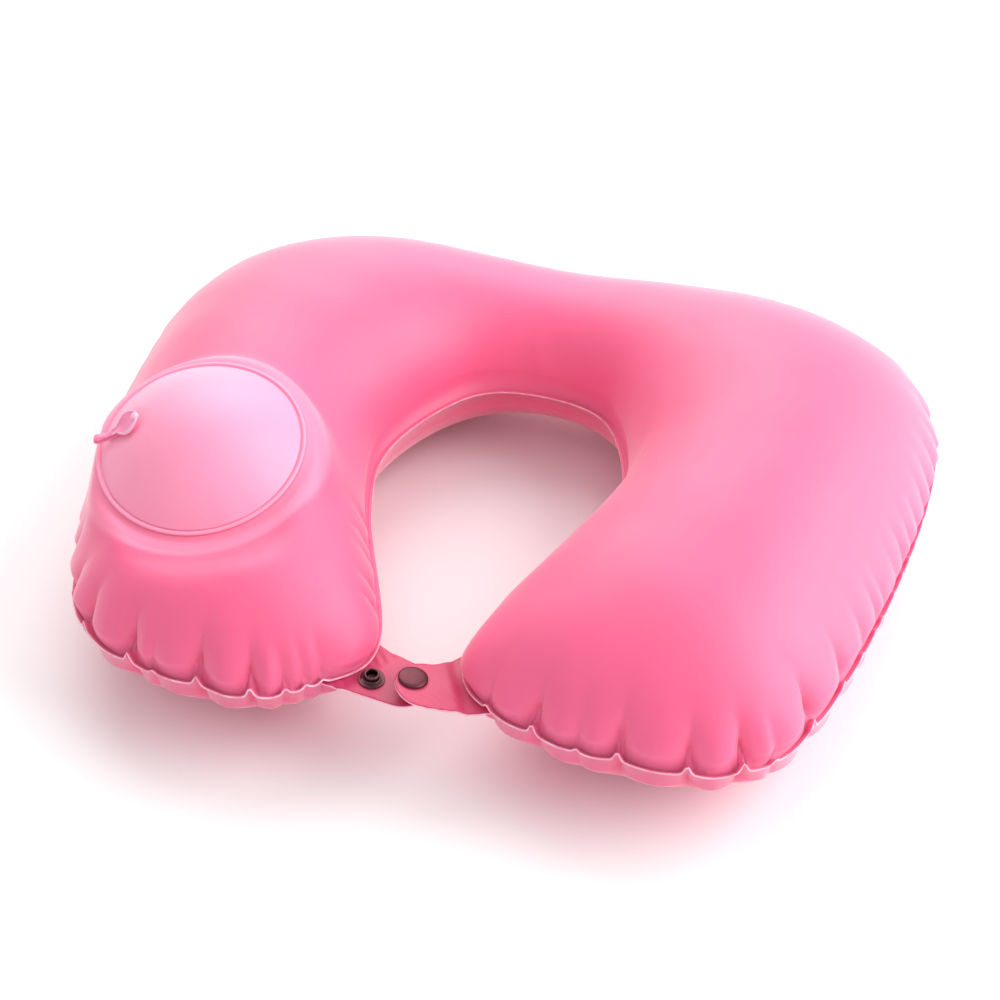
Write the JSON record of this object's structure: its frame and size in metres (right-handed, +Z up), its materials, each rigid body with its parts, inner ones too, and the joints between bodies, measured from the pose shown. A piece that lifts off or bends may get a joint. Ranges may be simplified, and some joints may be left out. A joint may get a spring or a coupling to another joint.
{
  "type": "inflatable neck pillow",
  "caption": "U-shaped inflatable neck pillow: two welded film panels, a press pump with a plug valve on one lobe, and two snap tabs across the opening.",
  "frame": {"origin": "on the rest plane, under the middle of the pillow's outline", "axes": "+X to the lobe without the pump, +Y to the back of the neck (the opening faces -Y), +Z up"},
  "size_m": [0.405, 0.3338, 0.1192],
  "materials": {
    "panel_film": "satin film laminated on fabric",
    "tab_film": "satin film laminated on fabric",
    "pump_film": "satin film",
    "foam": "open-cell foam",
    "valve_plastic": "soft clear pink plastic",
    "cap_metal": "satin rose grey metal",
    "snap_metal": "gunmetal",
    "spring_steel": "bright wire"
  },
  "bodies": {
    "root": {"upper_panel": "panel_film", "lower_panel": "panel_film", "pump_rim": "pump_film", "pump_dish": "pump_film", "pump_foam": "foam", "outlet_seat": "valve_plastic"},
    "pump_top": {"pump_dome": "pump_film", "valve_body": "valve_plastic", "plug_strap": "valve_plastic"},
    "outlet_flap": {"outlet_flap": "valve_plastic"},
    "intake_flap": {"intake_flap": "valve_plastic"},
    "valve_plug": {"valve_plug": "valve_plastic"},
    "left_tab": {"left_snap_tab": "tab_film", "snap_stud": "snap_metal", "stud_eyelet": "snap_metal"},
    "right_tab": {"right_snap_tab": "tab_film", "snap_cap": "cap_metal", "snap_socket": "snap_metal", "socket_spring": "spring_steel"}
  },
  "joints": [
    {"name": "pump_press", "type": "slide", "parent": "root", "child": "pump_top", "axis": [0, 0.284, -0.9588], "range_m": [0, 0.009], "stiffness_N_per_m": 1500, "deforming": ["pump_foam", "plug_strap"]},
    {"name": "outlet_flap_swing", "type": "hinge", "parent": "root", "child": "outlet_flap", "pos_m": [-0.125, -0.05726, 0.07969], "axis": [1, 0, 0], "range_deg": [0, 35], "stiffness_Nm_per_rad": 0.002},
    {"name": "intake_flap_swing", "type": "hinge", "parent": "pump_top", "child": "intake_flap", "pos_m": [-0.15415, -0.07077, 0.09689], "axis": [-0.1045, 0.9536, 0.2825], "range_deg": [0, 35], "stiffness_Nm_per_rad": 0.002},
    {"name": "plug_flip", "type": "hinge", "parent": "pump_top", "child": "valve_plug", "pos_m": [-0.16674, -0.07705, 0.10226], "axis": [0.3338, -0.9377, -0.0966], "range_deg": [0, 100], "deforming": ["plug_strap"]},
    {"name": "left_tab_fold", "type": "hinge", "parent": "root", "child": "left_tab", "pos_m": [-0.0272, -0.1367, 0.04295], "axis": [-0.5505, -0.8348, 0], "range_deg": [-75, 0], "stiffness_Nm_per_rad": 0.05},
    {"name": "right_tab_fold", "type": "hinge", "parent": "root", "child": "right_tab", "pos_m": [0.0173, -0.132, 0.04295], "axis": [-0.4478, 0.8942, 0], "range_deg": [0, 90], "stiffness_Nm_per_rad": 0.05}
  ]
}
